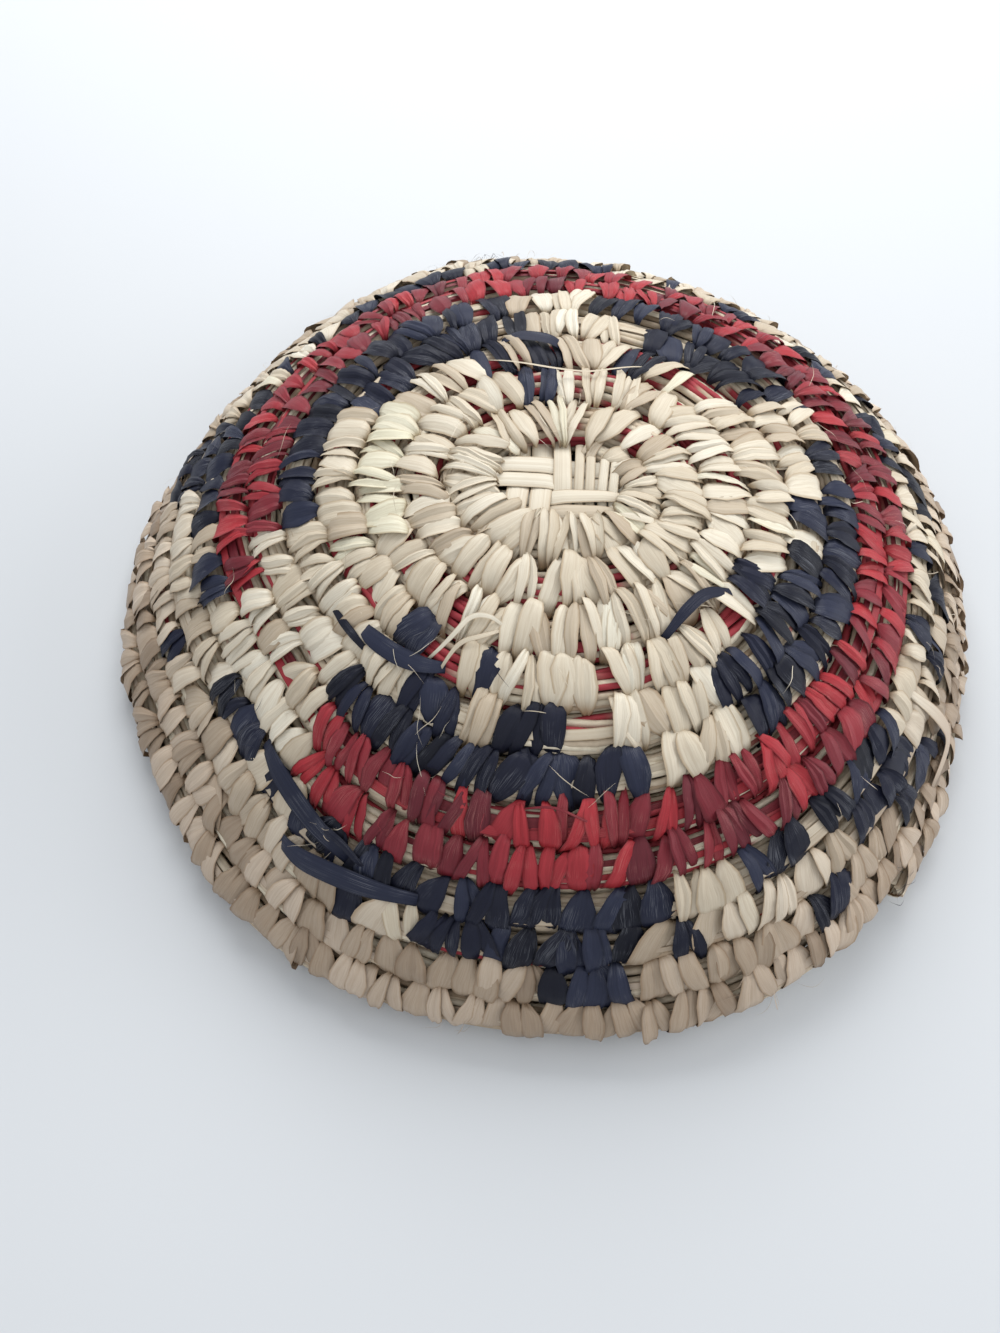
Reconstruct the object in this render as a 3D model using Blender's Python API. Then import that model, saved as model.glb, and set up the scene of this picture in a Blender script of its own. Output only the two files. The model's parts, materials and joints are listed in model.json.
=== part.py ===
"""Coiled basket bowl, lying mouth down: one spiral foundation bundle, the strips that bind it and its woven start.

The bundle runs clockwise and outwards from the start, seen from above, and steps down to the rim.
Each strip is wound round a stretch of the bundle, one wrap beside the next, in one colour.
"""
import math

import bpy
import bmesh
import numpy as np

# Shape of the bowl, measured over its outside, in metres and degrees
RIM_ARC = 0.1152
RIM_SLOPE = 69.0
SLOPE_POWER = 1.2
CENTRE_OVAL = 0.50
CENTRE_OVAL_REACH = 0.014
LEFT_DENT = 0.085
LEFT_DENT_BEARING = 208.0
LEFT_DENT_SPREAD = 22.0
MIDDLE_SHIFT = 0.057
RIM_SHIFT = 0.031
RIM_FLARE = 0.013
LEVEL_BLEND = 50.0

# Waves round the rim: how many, their height as a share of the radius and the bearing of a crest
RIM_WAVES = ((2, 0.029, 86.0), (3, 0.013, -43.0), (4, 0.019, 24.0), (5, 0.014, 29.0), (6, 0.0075, -6.0))

# The coil: turns are counted from where the first whole row begins
START_TURN = -0.53
END_TURN = 11.76
START_BEARING = 235.0
START_HOLE = 0.0105
FIRST_PITCH = 0.00945
LAST_PITCH = 0.00715
TAIL_TURNS = 0.07
TAIL_HEIGHT = 0.62

# Cross-section of a row, out to the crowns of its wraps
CROWN_ABOVE = 0.0037
CROWN_BELOW = 0.0036
INNER_SHOULDER = 0.0016
OUTER_SHOULDER = -0.0012
TOP_SHARE = 0.50
LAP_SHARE = 0.46
FULL_HALF_ROW = 0.0034

# Strips and the gaps between touching pieces
STRIP_THICKNESS = 0.0004
CLEARANCE = 0.0003
ROW_GAP = 0.00036
STITCH_PITCH = 0.0112
INNER_STITCH_RADIUS = 0.070
FLOOR_CUT = 0.0005

# The woven start, of flat strips that pass over and under each other
WEAVE_ROW_WIDTH = 0.0031
WEAVE_COLUMN_WIDTH = 0.0036
WEAVE_STRIP_GAP = 0.0003
WEAVE_SHIFT = -0.0015
WEAVE_LAYER = 0.0006
WEAVE_SPLIT = 0.0005
WEAVE_STEP = 0.0010
WEAVE_RISE = 0.0014

# Where along one wrap each corner of the section is crossed, and how wide the strip is there
WRAP_CROSSINGS = (0.46, 0.49, 0.51, 0.54, 1.0)
WRAP_WIDTHS = (0.84, 0.90, 0.92, 0.90, 0.84)

# The turn at which each stretch of one colour ends, from the start to the rim
COLOUR_RUNS = (
    (0.45, "natural"), (1.25, "natural"), (2.00, "natural"), (2.69, "natural"), (2.75, "navy"),
    (3.22, "natural"), (3.37, "navy"), (3.44, "natural"), (3.54, "navy"), (3.62, "natural"),
    (3.77, "navy"), (3.87, "natural"), (4.00, "navy"), (4.14, "natural"), (5.04, "navy"),
    (5.10, "natural"), (6.03, "red"), (6.12, "natural"), (7.03, "red"), (7.12, "natural"),
    (7.49, "navy"), (7.57, "natural"), (8.08, "navy"), (8.69, "natural"), (8.77, "navy"),
    (8.84, "natural"), (8.95, "navy"), (9.69, "natural"), (9.75, "navy"), (END_TURN, "natural"),
)
LONGEST_RUN = 0.30
FREE_RUN_TURN = 3.0

COLOURS = {
    "natural": (0.66, 0.60, 0.46),
    "rim": (0.55, 0.45, 0.32),
    "navy": (0.035, 0.045, 0.10),
    "red": (0.45, 0.03, 0.05),
    "bundle": (0.58, 0.44, 0.30),
}
RIM_COLOUR_TURN = 9.0

CORNERS = 5


def skin_profile():
    """Radius and height of the outside along the arc from the centre, as three matching rows of numbers."""
    arc = np.linspace(0.0, 1.3 * RIM_ARC, 521)
    step = arc[1] - arc[0]
    slope = np.radians(RIM_SLOPE) * (arc / RIM_ARC) ** SLOPE_POWER
    middle = (slope[1:] + slope[:-1]) / 2
    radius = np.concatenate([[0.0], np.cumsum(np.cos(middle)) * step])
    height = -np.concatenate([[0.0], np.cumsum(np.sin(middle)) * step])
    return arc, radius, height


PROFILE_ARC, PROFILE_RADIUS, PROFILE_HEIGHT = skin_profile()


def row_arc(turn):
    """Arc from the centre to the inner edge of the row at a turn; the rows narrow evenly towards the rim."""
    narrowing = (FIRST_PITCH - LAST_PITCH) / END_TURN
    return START_HOLE + FIRST_PITCH * turn - narrowing * turn * turn / 2


def bearing_of(turn):
    return math.radians(START_BEARING) - 2 * math.pi * turn


def bearing_gap(bearing, centre_degrees):
    """Degrees from a bearing to a named one, the short way round."""
    return (math.degrees(bearing) - centre_degrees + 180.0) % 360.0 - 180.0


def out_of_round(arc, bearing):
    """Share by which the radius is longer or shorter than a true round bowl's."""
    share = arc / RIM_ARC
    oval = CENTRE_OVAL * math.exp(-arc / CENTRE_OVAL_REACH) * math.cos(2 * bearing)
    middle = 4 * share * (1 - min(share, 1.0))
    shift = math.sin(bearing) * (MIDDLE_SHIFT * middle + RIM_SHIFT * share ** 2)
    waves = RIM_FLARE
    for count, height, crest in RIM_WAVES:
        waves += height * math.cos(count * (bearing - math.radians(crest)))
    dent = LEFT_DENT * math.exp(-(bearing_gap(bearing, LEFT_DENT_BEARING) / LEFT_DENT_SPREAD) ** 2) * middle
    return oval + shift - dent + waves * share ** 3


def raw_point(arc, bearing):
    """Point at the middle of the wall, before the rim is levelled."""
    slope = math.radians(RIM_SLOPE) * (arc / RIM_ARC) ** SLOPE_POWER
    radius = np.interp(arc, PROFILE_ARC, PROFILE_RADIUS) - CROWN_ABOVE * math.sin(slope)
    height = np.interp(arc, PROFILE_ARC, PROFILE_HEIGHT) - CROWN_ABOVE * math.cos(slope)
    radius *= 1 + out_of_round(arc, bearing)
    return np.array([radius * math.cos(bearing), radius * math.sin(bearing), height])


def outer_arc(turn):
    """Arc to the outer edge of the row; the last stretch tapers to the end of the coil."""
    inner = inner_arc(turn)
    full = row_arc(turn + 1)
    into_tail = max(0.0, (turn - (END_TURN - TAIL_TURNS)) / TAIL_TURNS)
    return inner + (full - inner) * (1 - (1 - TAIL_HEIGHT) * into_tail)


def inner_arc(turn):
    return max(row_arc(turn), START_HOLE)


def rim_drop():
    """Height of the rim's lower edge along the last turn, which ends short of the step at the coil's end."""
    blend_turns = LEVEL_BLEND / 360.0
    turns = np.linspace(END_TURN - 1 + blend_turns, END_TURN, 60)
    bearings = np.array([bearing_of(turn) % (2 * math.pi) for turn in turns])
    heights = np.array([raw_point(row_arc(turn + 1), bearing_of(turn))[2] for turn in turns])
    order = np.argsort(bearings)
    return bearings[order], heights[order]


LEVEL_BEARINGS, LEVEL_HEIGHTS = rim_drop()


def wall_point(arc, bearing):
    """Point at the middle of the wall, on a bowl whose rim lies level."""
    point = raw_point(arc, bearing)
    rim = np.interp(bearing % (2 * math.pi), LEVEL_BEARINGS, LEVEL_HEIGHTS, period=2 * math.pi)
    point[2] += (LEVEL_HEIGHTS.mean() - rim) * (arc / RIM_ARC) ** 3
    return point


def row_frame(turn):
    """Centre of the row, half its width, and its axes down the wall and out of the wall."""
    bearing = bearing_of(turn)
    inner = wall_point(inner_arc(turn), bearing)
    outer = wall_point(outer_arc(turn), bearing)
    down = outer - inner
    width = np.linalg.norm(down)
    down /= width
    along = np.array([math.sin(bearing), -math.cos(bearing), 0.0])
    out = np.cross(along, down)
    if out[2] < 0:
        out = -out
    out /= np.linalg.norm(out)
    return (inner + outer) / 2, width / 2, down, out


def crown_section(half_row):
    """Outline of the row over its wraps: inner shoulder, two top corners, outer shoulder and inside ridge.

    The outer shoulder laps under the next row's inner one, so that no light shows between rows.
    """
    half = half_row - ROW_GAP / 2
    size = min(1.0, half / FULL_HALF_ROW)
    return np.array([
        (-half, INNER_SHOULDER * size),
        (-TOP_SHARE * half, CROWN_ABOVE * size),
        (TOP_SHARE * half, CROWN_ABOVE * size),
        (half * (1 + LAP_SHARE), OUTER_SHOULDER * size),
        (0.0, -CROWN_BELOW * size),
    ])


def shrink(section, distance):
    """The same outline with every side moved inwards by one distance."""
    corners = []
    count = len(section)
    for index in range(count):
        before = section[index] - section[index - 1]
        after = section[(index + 1) % count] - section[index]
        first = np.array([-before[1], before[0]]) / np.linalg.norm(before)
        second = np.array([-after[1], after[0]]) / np.linalg.norm(after)
        corners.append(section[index] - distance * (first + second) / (1 + first @ second))
    return np.array(corners)


def stations():
    """Turns of the coil that lie one wrap apart, closer together on the tight inner rows."""
    turns = [START_TURN]
    while turns[-1] < END_TURN:
        centre = row_frame(turns[-1])[0]
        radius = math.hypot(centre[0], centre[1])
        pitch = STITCH_PITCH * min(1.0, math.sqrt(radius / INNER_STITCH_RADIUS))
        turns.append(turns[-1] + pitch / (2 * math.pi * radius))
    turns[-1] = END_TURN
    return turns


def lofted_corners(turns):
    """Corner points of the bundle, of the strips' inner side and of their crowns at every station."""
    bundle = []
    base = []
    crown = []
    for turn in turns:
        centre, half, down, out = row_frame(turn)
        outline = crown_section(half)
        for depth, layer in ((0.0, crown), (STRIP_THICKNESS, base), (STRIP_THICKNESS + CLEARANCE, bundle)):
            corners = shrink(outline, depth)
            layer.append([centre + m * down + n * out for m, n in corners])
    return np.array(bundle), np.array(base), np.array(crown)


def between(layer, place, corner):
    """Point on a corner line of a layer at a place counted in stations."""
    place = min(max(place, 0.0), len(layer) - 1.0)
    low = min(int(place), len(layer) - 2)
    share = place - low
    return layer[low][corner] * (1 - share) + layer[low + 1][corner] * share


def tube_faces(rings, sides):
    """Side faces of a closed tube of rings, with an end face on each end."""
    faces = []
    for ring in range(rings - 1):
        for side in range(sides):
            other = (side + 1) % sides
            faces.append((ring * sides + side, ring * sides + other,
                          (ring + 1) * sides + other, (ring + 1) * sides + side))
    faces.append(tuple(range(sides)))
    faces.append(tuple(range((rings - 1) * sides, rings * sides)))
    return faces


def foundation_coil(bundle):
    points = bundle.reshape(-1, 3)
    return points, tube_faces(len(bundle), CORNERS)


def least_gap(bundle, turns):
    """Least distance from one turn of the bundle to the next, between points along their facing edges."""
    spots = []
    places = []
    for index in range(len(turns) - 1):
        for step in range(6):
            share = step / 6
            spots.append(bundle[index] * (1 - share) + bundle[index + 1] * share)
            places.append(turns[index] * (1 - share) + turns[index + 1] * share)
    spots = np.array(spots)
    places = np.array(places)
    least = math.inf
    for index in range(len(places)):
        others = spots[places > places[index] + 0.5]
        if len(others):
            least = min(least, np.linalg.norm(others[:, 0] - spots[index, 3], axis=1).min())
    return least


def wound_strip(first, last, base, crown):
    """One flat strip, crowned along its middle, wrapped round the bundle from one station to another."""
    points = []
    for wrap in range(first, last):
        for corner in range(CORNERS):
            place = wrap + WRAP_CROSSINGS[corner]
            half = WRAP_WIDTHS[corner] / 2
            if place - half < first or place + half > len(base) - 1:
                continue
            near_edge = between(base, place - half, corner)
            far_edge = between(base, place + half, corner)
            thickness = between(crown, place, corner) - between(base, place, corner)
            points.append(near_edge)
            points.append((near_edge + far_edge) / 2 + thickness)
            points.append(far_edge)
    rings = len(points) // 3
    if wrap_is_inner_pass(rings):
        points = points[:-3]
        rings -= 1
    return np.array(points), tube_faces(rings, 3)


def wrap_is_inner_pass(rings):
    """Whether the last ring lies on the inside ridge, where it would meet the next strip's first wrap."""
    return rings % CORNERS == 0


def run_bounds(turns):
    """Stations between which each strip is wound, with the strip's colour."""
    bounds = []
    start_turn = START_TURN
    start = 0
    for end_turn, colour in COLOUR_RUNS:
        span = end_turn - start_turn
        pieces = 1 if end_turn < FREE_RUN_TURN else max(1, math.ceil(span / LONGEST_RUN - 0.1))
        for piece in range(1, pieces + 1):
            goal = start_turn + span * piece / pieces
            end = int(np.argmin(np.abs(np.array(turns) - goal)))
            if end > start:
                bounds.append((start, end, colour))
                start = end
        start_turn = end_turn
    return bounds


def hole_radius(bearing):
    """Radius of the opening at the centre that the woven start fills."""
    back = (math.radians(START_BEARING) - bearing) / (2 * math.pi)
    turn = back - math.floor(back)
    if turn - 1 >= START_TURN - CLEARANCE:
        turn -= 1
    edge = wall_point(inner_arc(turn), bearing)
    return math.hypot(edge[0], edge[1])


def reach_to_hole(across, direction, lengthwise):
    """How far a line beside the centre runs before it meets the first row."""
    reach = 0.0
    while True:
        point = (direction * reach, across) if lengthwise else (across, direction * reach)
        edge = hole_radius(math.atan2(point[1], point[0])) - CLEARANCE
        if math.hypot(*point) > edge:
            return max(reach - WEAVE_SPLIT, 0.0) * direction
        reach += 0.0001


def weave_strip(middle, width, first_side_up, lengthwise, level):
    """One strip of the start: over on one side of the centre and under on the other."""
    places = []
    crossing = WEAVE_SHIFT if lengthwise else 0.0
    for across in (middle - width / 2, middle, middle + width / 2):
        low = reach_to_hole(across, -1, lengthwise)
        high = reach_to_hole(across, 1, lengthwise)
        places.append((low, crossing - WEAVE_STEP, crossing + WEAVE_STEP, high))
    up = WEAVE_LAYER if first_side_up else -WEAVE_LAYER
    heights = (up, up, -up, -up)
    points = []
    for ring in range(4):
        for side, across in enumerate((middle - width / 2, middle, middle + width / 2)):
            rise = STRIP_THICKNESS / 2 if side == 1 else -STRIP_THICKNESS / 2
            height = level + heights[ring] + rise
            along = places[side][ring]
            points.append((along, across, height) if lengthwise else (across, along, height))
    return np.array(points), tube_faces(4, 3)


def woven_start():
    """Strips of the start: four along X, and five along Y, two on the left and three on the right."""
    level = wall_point(0.0, 0.0)[2] + WEAVE_RISE
    strips = []
    for row in range(2):
        offset = WEAVE_SPLIT + WEAVE_ROW_WIDTH / 2 + row * (WEAVE_ROW_WIDTH + WEAVE_STRIP_GAP)
        strips.append(("back", offset, WEAVE_ROW_WIDTH, True, True))
        strips.append(("front", -offset, WEAVE_ROW_WIDTH, False, True))
    for column in range(3):
        offset = WEAVE_SPLIT + WEAVE_COLUMN_WIDTH / 2 + column * (WEAVE_COLUMN_WIDTH + WEAVE_STRIP_GAP)
        strips.append(("right", WEAVE_SHIFT + offset, WEAVE_COLUMN_WIDTH, False, False))
        if column < 2:
            strips.append(("left", WEAVE_SHIFT - offset, WEAVE_COLUMN_WIDTH, True, False))
    pieces = []
    for index, (side, middle, width, first_side_up, lengthwise) in enumerate(strips):
        points, faces = weave_strip(middle, width, first_side_up, lengthwise, level)
        pieces.append((f"start_strip_{side}_{index + 1}", points, faces, "natural"))
    return pieces


def new_material(name, colour):
    material = bpy.data.materials.new(name)
    material.use_nodes = True
    shader = material.node_tree.nodes["Principled BSDF"]
    shader.inputs["Base Color"].default_value = (*COLOURS[colour], 1.0)
    shader.inputs["Roughness"].default_value = 0.62
    shader.inputs["Metallic"].default_value = 0.0
    return material


def new_piece(name, points, faces, colour):
    """Mesh object of one closed body, cut flat where it reaches under the floor."""
    shape = bmesh.new()
    corners = [shape.verts.new(point) for point in points]
    for face in faces:
        shape.faces.new([corners[index] for index in face])
    bmesh.ops.recalc_face_normals(shape, faces=shape.faces)
    if min(point[2] for point in points) < 0:
        geometry = shape.verts[:] + shape.edges[:] + shape.faces[:]
        bmesh.ops.bisect_plane(shape, geom=geometry, dist=1e-7, plane_co=(0, 0, 0), plane_no=(0, 0, -1),
                               clear_outer=True)
        open_edges = [edge for edge in shape.edges if edge.is_boundary]
        bmesh.ops.holes_fill(shape, edges=open_edges)
        bmesh.ops.recalc_face_normals(shape, faces=shape.faces)
    mesh = bpy.data.meshes.new(name)
    shape.to_mesh(mesh)
    shape.free()
    mesh.shade_smooth()
    mesh.set_sharp_from_angle(angle=math.radians(50))
    mesh.materials.append(new_material(name, colour))
    piece = bpy.data.objects.new(name, mesh)
    bpy.context.scene.collection.objects.link(piece)
    return piece


def stitching(turns, base, crown):
    pieces = []
    for number, (first, last, colour) in enumerate(run_bounds(turns), start=1):
        points, faces = wound_strip(first, last, base, crown)
        tint = "rim" if colour == "natural" and turns[first] > RIM_COLOUR_TURN else colour
        pieces.append((f"stitching_{colour}_{number:02d}", points, faces, tint))
    return pieces


for old in list(bpy.data.objects):
    bpy.data.objects.remove(old)

station_turns = stations()
bundle_corners, base_corners, crown_corners = lofted_corners(station_turns)
coil_points, coil_faces = foundation_coil(bundle_corners)
pieces = [("foundation_coil", coil_points, coil_faces, "bundle")]
pieces += stitching(station_turns, base_corners, crown_corners)
pieces += woven_start()

everything = np.concatenate([points for _, points, _, _ in pieces])
lowest = everything.min(axis=0)
highest = everything.max(axis=0)
origin = np.array([(lowest[0] + highest[0]) / 2, (lowest[1] + highest[1]) / 2, lowest[2] + FLOOR_CUT])
for name, points, faces, colour in pieces:
    new_piece(name, points - origin, faces, colour)

gap = least_gap(bundle_corners, station_turns)
print(f"stitching wraps: {len(station_turns) - 1}, pieces: {len(pieces)}")
print(f"least gap of the foundation coil to itself: {gap * 1000:.2f} mm")
print(f"overall size: {np.round((highest - lowest) * 1000, 1)} mm")
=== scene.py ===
import json
import math

import bpy
import numpy as np
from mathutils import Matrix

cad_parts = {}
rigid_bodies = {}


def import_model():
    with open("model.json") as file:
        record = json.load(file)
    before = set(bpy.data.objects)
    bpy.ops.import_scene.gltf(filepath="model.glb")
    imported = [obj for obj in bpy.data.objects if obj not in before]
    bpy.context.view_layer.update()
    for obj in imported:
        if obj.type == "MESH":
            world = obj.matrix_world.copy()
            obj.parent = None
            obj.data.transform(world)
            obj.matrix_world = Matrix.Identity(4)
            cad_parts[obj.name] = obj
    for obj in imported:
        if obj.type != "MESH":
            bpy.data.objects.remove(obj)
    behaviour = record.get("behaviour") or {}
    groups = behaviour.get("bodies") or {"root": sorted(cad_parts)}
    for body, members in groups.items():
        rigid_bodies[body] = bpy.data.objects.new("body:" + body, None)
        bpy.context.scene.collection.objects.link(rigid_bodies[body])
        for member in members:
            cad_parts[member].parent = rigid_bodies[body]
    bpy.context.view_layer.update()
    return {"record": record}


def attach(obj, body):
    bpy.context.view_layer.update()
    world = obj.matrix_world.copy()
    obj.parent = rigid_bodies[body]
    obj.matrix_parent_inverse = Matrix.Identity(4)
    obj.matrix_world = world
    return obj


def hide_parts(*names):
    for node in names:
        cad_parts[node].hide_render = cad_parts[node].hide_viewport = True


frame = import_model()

record_nodes = [part["node"] for part in frame["record"]["subparts"]]

# The foundation. One bundle of dry straws runs in a spiral from the start at the crown to the rim,
# clockwise seen from above, and the stitches bind each turn of it to the turn before. It shows
# between stitches and where they have worn away, and on some turns a few straws are dyed red.

# The bowl that it follows, in metres and degrees, by the same formulas as the CAD
RIM_ARC = 0.1152
RIM_SLOPE = math.radians(69.0)
SLOPE_POWER = 1.2
CENTRE_OVAL = 0.50
CENTRE_OVAL_REACH = 0.014
LEFT_DENT = 0.085
LEFT_DENT_BEARING = 208.0
LEFT_DENT_SPREAD = 22.0
MIDDLE_SHIFT = 0.057
RIM_SHIFT = 0.031
RIM_FLARE = 0.013
RIM_WAVES = (
    (2, 0.029, 86.0), (3, 0.013, -43.0), (4, 0.019, 24.0), (5, 0.014, 29.0), (6, 0.0075, -6.0),
)
LEVEL_BLEND = 50.0
LEVEL_POINTS = 60
START_TURN = -0.53
END_TURN = 11.76
START_BEARING = 235.0
START_HOLE = 0.0105
FIRST_PITCH = 0.00945
LAST_PITCH = 0.00715
CROWN_HEIGHT = 0.0037
FULL_HALF_ROW = 0.0034
BOWL_MIDDLE = np.array([-0.000543, 0.005678, -0.056044])
PROFILE_REACH = 1.3
PROFILE_POINTS = 521

profile_arc = np.linspace(0.0, PROFILE_REACH * RIM_ARC, PROFILE_POINTS)
profile_slope = RIM_SLOPE * (profile_arc / RIM_ARC) ** SLOPE_POWER
middle_slope = (profile_slope[1:] + profile_slope[:-1]) / 2
profile_radius = np.concatenate([[0.0], np.cumsum(np.cos(middle_slope))]) * profile_arc[1]
profile_height = -np.concatenate([[0.0], np.cumsum(np.sin(middle_slope))]) * profile_arc[1]


def row_edge(turn):
    """Arc from the centre of the bowl to the inner edge of the row at a turn."""
    return START_HOLE + FIRST_PITCH * turn - (FIRST_PITCH - LAST_PITCH) / END_TURN * turn ** 2 / 2


def bearing_of(turn):
    """Direction from the middle of the bowl, in radians from +X. It falls as the coil runs on."""
    return math.radians(START_BEARING) - 2 * math.pi * turn


def unlevelled_wall(arc, bearing):
    """Points at the middle of the wall, on a bowl whose rim isn't level yet."""
    share = arc / RIM_ARC
    oval = CENTRE_OVAL * np.exp(-arc / CENTRE_OVAL_REACH) * np.cos(2 * bearing)
    middle = 4 * share * (1 - np.minimum(share, 1.0))
    shift = np.sin(bearing) * (MIDDLE_SHIFT * middle + RIM_SHIFT * share ** 2)
    waves = RIM_FLARE + sum(height * np.cos(count * (bearing - math.radians(crest)))
                            for count, height, crest in RIM_WAVES)
    gap = (np.degrees(bearing) - LEFT_DENT_BEARING + 180.0) % 360.0 - 180.0
    dent = LEFT_DENT * np.exp(-(gap / LEFT_DENT_SPREAD) ** 2) * middle
    slope = RIM_SLOPE * share ** SLOPE_POWER
    radius = np.interp(arc, profile_arc, profile_radius) - CROWN_HEIGHT * np.sin(slope)
    height = np.interp(arc, profile_arc, profile_height) - CROWN_HEIGHT * np.cos(slope)
    radius = radius * (1 + oval + shift - dent + waves * share ** 3)
    return np.stack([radius * np.cos(bearing), radius * np.sin(bearing), height], axis=-1)


last_turns = np.linspace(END_TURN - 1 + LEVEL_BLEND / 360.0, END_TURN, LEVEL_POINTS)
rim_bearings = bearing_of(last_turns) % (2 * math.pi)
rim_heights = unlevelled_wall(row_edge(last_turns + 1), bearing_of(last_turns))[:, 2]
rim_order = np.argsort(rim_bearings)


def wall(arc, bearing):
    """Points at the middle of the wall, on the bowl as it stands on its rim."""
    point = unlevelled_wall(arc, bearing)
    rim = np.interp(bearing % (2 * math.pi), rim_bearings[rim_order], rim_heights[rim_order],
                    period=2 * math.pi)
    point[..., 2] += (rim_heights.mean() - rim) * (arc / RIM_ARC) ** 3
    return point - BOWL_MIDDLE


def coil_frame(turn):
    """Middle of the row at each turn, half its width, and the ways down and out of the wall."""
    turn = np.atleast_1d(np.asarray(turn, dtype=float))
    bearing = bearing_of(turn)
    inner = wall(np.maximum(row_edge(turn), START_HOLE), bearing)
    outer = wall(row_edge(turn + 1), bearing)
    down = outer - inner
    width = np.linalg.norm(down, axis=1)
    down /= width[:, None]
    along = np.stack([np.sin(bearing), -np.cos(bearing), np.zeros_like(bearing)], axis=1)
    out = np.cross(along, down)
    out *= np.where(out[:, 2] < 0, -1.0, 1.0)[:, None]
    out /= np.linalg.norm(out, axis=1)[:, None]
    return (inner + outer) / 2, width / 2, down, out


def crown_of(half):
    """How far the bundle rises from the middle of the wall, where a row has a half width."""
    return CROWN_HEIGHT * np.minimum(1.0, half / FULL_HALF_ROW)


class Value:
    """An output of a node. Sums on it add Math nodes."""

    def __init__(self, socket):
        self.socket = socket

    def _sum(self, operation, first, second):
        tree = self.socket.id_data
        node = tree.nodes.new("ShaderNodeMath")
        node.operation = operation
        for place, term in enumerate((first, second)):
            if isinstance(term, Value):
                tree.links.new(term.socket, node.inputs[place])
            else:
                node.inputs[place].default_value = term
        return Value(node.outputs[0])

    def __add__(self, other):
        return self._sum("ADD", self, other)

    def __radd__(self, other):
        return self._sum("ADD", other, self)

    def __sub__(self, other):
        return self._sum("SUBTRACT", self, other)

    def __rsub__(self, other):
        return self._sum("SUBTRACT", other, self)

    def __mul__(self, other):
        return self._sum("MULTIPLY", self, other)

    def __rmul__(self, other):
        return self._sum("MULTIPLY", other, self)

    def of(self, name):
        """Another output of the same node."""
        return Value(self.socket.node.outputs[name])


class Bench:
    """Where one material or one arrangement of nodes is put together."""

    def __init__(self, tree):
        self.tree = tree

    def add(self, kind, settings=None, sockets=None, output=None):
        """A node of a type, with its settings first and then its sockets' values or links."""
        node = self.tree.nodes.new(kind)
        for name, setting in (settings or {}).items():
            if name == "stops":
                while len(node.color_ramp.elements) < len(setting):
                    node.color_ramp.elements.new(0.5)
                for stop, (place, colour) in zip(node.color_ramp.elements, setting):
                    stop.position = place
                    stop.color = (*colour, 1.0)
            else:
                setattr(node, name, setting)
        for name, value in (sockets or {}).items():
            socket = node.inputs[name] if isinstance(name, int) else next(
                item for item in node.inputs if item.name == name and item.enabled)
            if isinstance(value, Value):
                self.tree.links.new(value.socket, socket)
            else:
                socket.default_value = value
        if output is None:
            found = next((item for item in node.outputs if item.enabled), None)
            return Value(found) if found else node
        return Value(node.outputs[output])

    def noise(self, vector, scale, detail=2.0):
        return self.add("ShaderNodeTexNoise", {},
                        {"Vector": vector, "Scale": scale, "Detail": detail}, 0)

    def attribute(self, name):
        """A number that a finished mesh brings along, for its material."""
        return self.add("ShaderNodeAttribute", {"attribute_name": name}, {}, "Fac")

    def object_place(self):
        return self.add("ShaderNodeTexCoord", {}, {}, "Object")

    def stored(self, name, kind="FLOAT"):
        """A number or vector that the carrier's points bring along, for the arrangement on it."""
        return self.add("GeometryNodeInputNamedAttribute", {"data_type": kind}, {"Name": name})

    def scaled(self, vector, amount):
        return self.add("ShaderNodeVectorMath", {"operation": "SCALE"},
                        {"Vector": vector, "Scale": amount})

    def vector(self, x, y, z):
        return self.add("ShaderNodeCombineXYZ", {}, {"X": x, "Y": y, "Z": z})

    def blend(self, factor, first, second, kind="MIX"):
        """One colour laid over another by a factor."""
        return self.add("ShaderNodeMix",
                        {"data_type": "RGBA", "blend_type": kind, "clamp_factor": True},
                        {"Factor": factor, "A": first, "B": second})

    def ramp(self, factor, *stops):
        return self.add("ShaderNodeValToRGB", {"stops": stops}, {"Fac": factor})

    def step(self, factor, low, high):
        """A mask that rises from 0 to 1 between two values."""
        return self.add("ShaderNodeMapRange", {"interpolation_type": "SMOOTHSTEP"},
                        {"Value": factor, "From Min": low, "From Max": high})

    def kept_above(self, geometry, floor):
        """The geometry with no point lower than the floor that it stands on."""
        place = self.add("GeometryNodeInputPosition")
        height = self.add("ShaderNodeSeparateXYZ", {}, {0: place}, "Z")
        above = self.add("ShaderNodeMath", {"operation": "MAXIMUM"}, {0: height, 1: floor})
        lifted = self.vector(height.of("X"), height.of("Y"), above)
        return self.add("GeometryNodeSetPosition", {}, {"Geometry": geometry, "Position": lifted})


def new_material(name, roughness, gloss=0.35):
    """A material with its shader, and the bench that the rest of it is made on."""
    material = bpy.data.materials.new(name)
    material.use_nodes = True
    shader = material.node_tree.nodes["Principled BSDF"]
    shader.inputs["Roughness"].default_value = roughness
    shader.inputs["Specular IOR Level"].default_value = gloss
    return material, shader, Bench(material.node_tree)


def feed(bench, shader, name, value):
    bench.tree.links.new(value.socket, shader.inputs[name])


def new_arrangement(name, *inputs):
    """A Geometry Nodes tree with a geometry input, more named inputs and a geometry output."""
    tree = bpy.data.node_groups.new(name, "GeometryNodeTree")
    tree.interface.new_socket("Geometry", in_out="INPUT", socket_type="NodeSocketGeometry")
    for title, kind in inputs:
        tree.interface.new_socket(title, in_out="INPUT", socket_type=f"NodeSocket{kind}")
    tree.interface.new_socket("Geometry", in_out="OUTPUT", socket_type="NodeSocketGeometry")
    start = tree.nodes.new("NodeGroupInput")
    return tree, Bench(tree), {item.name: Value(item) for item in start.outputs if item.name}


def hand_over(bench, geometry):
    bench.add("NodeGroupOutput", {}, {"Geometry": geometry})


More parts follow.
